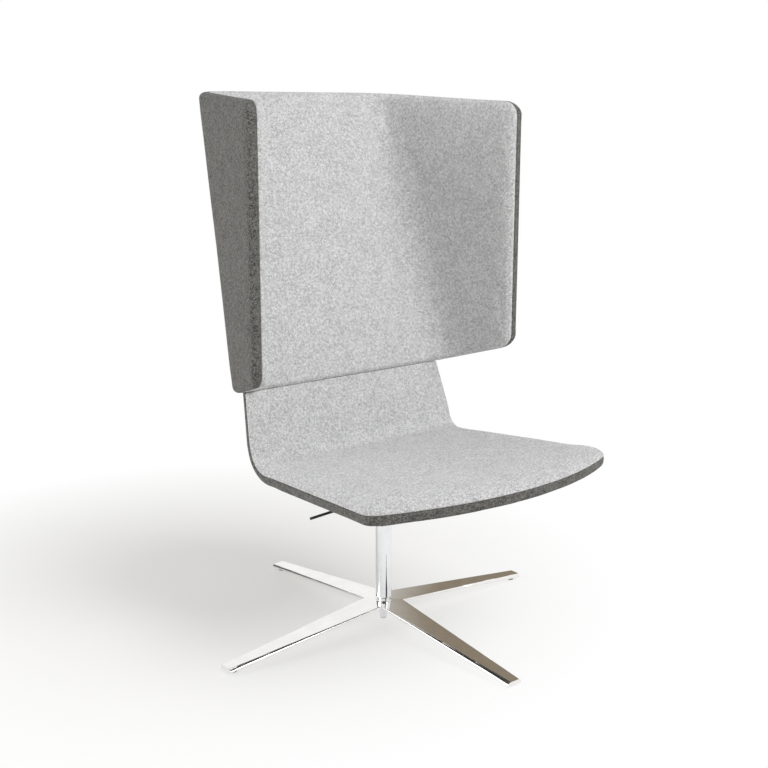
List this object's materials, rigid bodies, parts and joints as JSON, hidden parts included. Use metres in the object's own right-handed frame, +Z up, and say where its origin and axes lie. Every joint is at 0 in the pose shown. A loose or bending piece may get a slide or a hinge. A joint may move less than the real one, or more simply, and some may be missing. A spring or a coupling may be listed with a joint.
{
  "type": "lounge chair",
  "caption": "Upholstered lounge chair with a bent seat shell, a tall wrap-around acoustic panel with side wings, and a height-adjustable swivel column on a flat star base.",
  "frame": {"origin": "on the floor, under the axis of the column", "axes": "+Z up, the sitter faces -Y, the arms of the base lie along X and Y"},
  "size_m": [0.8, 0.817, 1.1192],
  "materials": {
    "polished_aluminium": "polished cast aluminium",
    "chromed_steel": "bright chrome plate",
    "zinc_steel": "zinc plated steel",
    "bearing_steel": "ground bright steel",
    "brass_cage": "pressed brass",
    "black_steel": "black powder coat",
    "black_plastic": "fine matt black plastic",
    "glide_plastic": "grey polyamide",
    "black_rubber": "black rubber",
    "moulded_board": "moulded beech plywood, hidden",
    "dark_felt": "dark grey melange wool felt over thin foam",
    "light_felt": "light grey melange wool felt over foam"
  },
  "bodies": {
    "base": {"base_casting": "polished_aluminium", "foot_glides": "glide_plastic", "glide_screws": "zinc_steel", "base_nut": "zinc_steel", "column_foot": "chromed_steel", "column_tube": "chromed_steel", "guide_bush": "black_plastic", "lower_race": "bearing_steel"},
    "spindle": {"bearing_balls": "bearing_steel", "ball_cage": "brass_cage", "upper_race": "bearing_steel", "piston_rod": "bearing_steel", "piston": "bearing_steel", "rod_washer": "zinc_steel", "rod_clip": "zinc_steel", "rest_buffer": "black_rubber"},
    "seat": {"gas_cylinder": "chromed_steel", "cylinder_gland": "zinc_steel", "rod_seal": "black_rubber", "valve_body": "zinc_steel", "seat_bracket": "black_steel", "seat_bolts": "zinc_steel", "seat_nuts": "zinc_steel", "shaft_bushes": "black_plastic", "shell_board": "moulded_board", "shell_cover": "dark_felt", "seat_pad": "light_felt", "panel_board": "moulded_board", "panel_cover": "dark_felt", "panel_pad": "light_felt", "panel_bolts": "zinc_steel", "panel_nuts": "zinc_steel", "bolt_caps": "black_plastic"},
    "lever": {"lever_shaft": "zinc_steel", "shaft_clips": "zinc_steel", "lever_rod": "black_steel", "lever_grip": "black_plastic", "lever_finger": "black_steel", "finger_screw": "zinc_steel"},
    "button": {"release_button": "bearing_steel"}
  },
  "joints": [
    {"name": "seat_swivel", "type": "hinge", "parent": "base", "child": "spindle", "pos_m": [0, 0, 0.078], "axis": [0, 0, 1], "continuous": true},
    {"name": "seat_lift", "type": "slide", "parent": "spindle", "child": "seat", "axis": [0, 0, 1], "range_m": [0, 0.1]},
    {"name": "lever_pull", "type": "hinge", "parent": "seat", "child": "lever", "pos_m": [-0.058, 0, 0.33224], "axis": [0, 0.9973, -0.0732], "range_deg": [0, 3], "stiffness_Nm_per_rad": 1, "springref_deg": -5.73},
    {"name": "button_press", "type": "slide", "parent": "seat", "child": "button", "axis": [0, 0, 1], "range_m": [-0.004, 0]}
  ],
  "couplings": [
    {"joint": "button_press", "follows": "lever_pull", "m_per_rad": -0.05784}
  ]
}
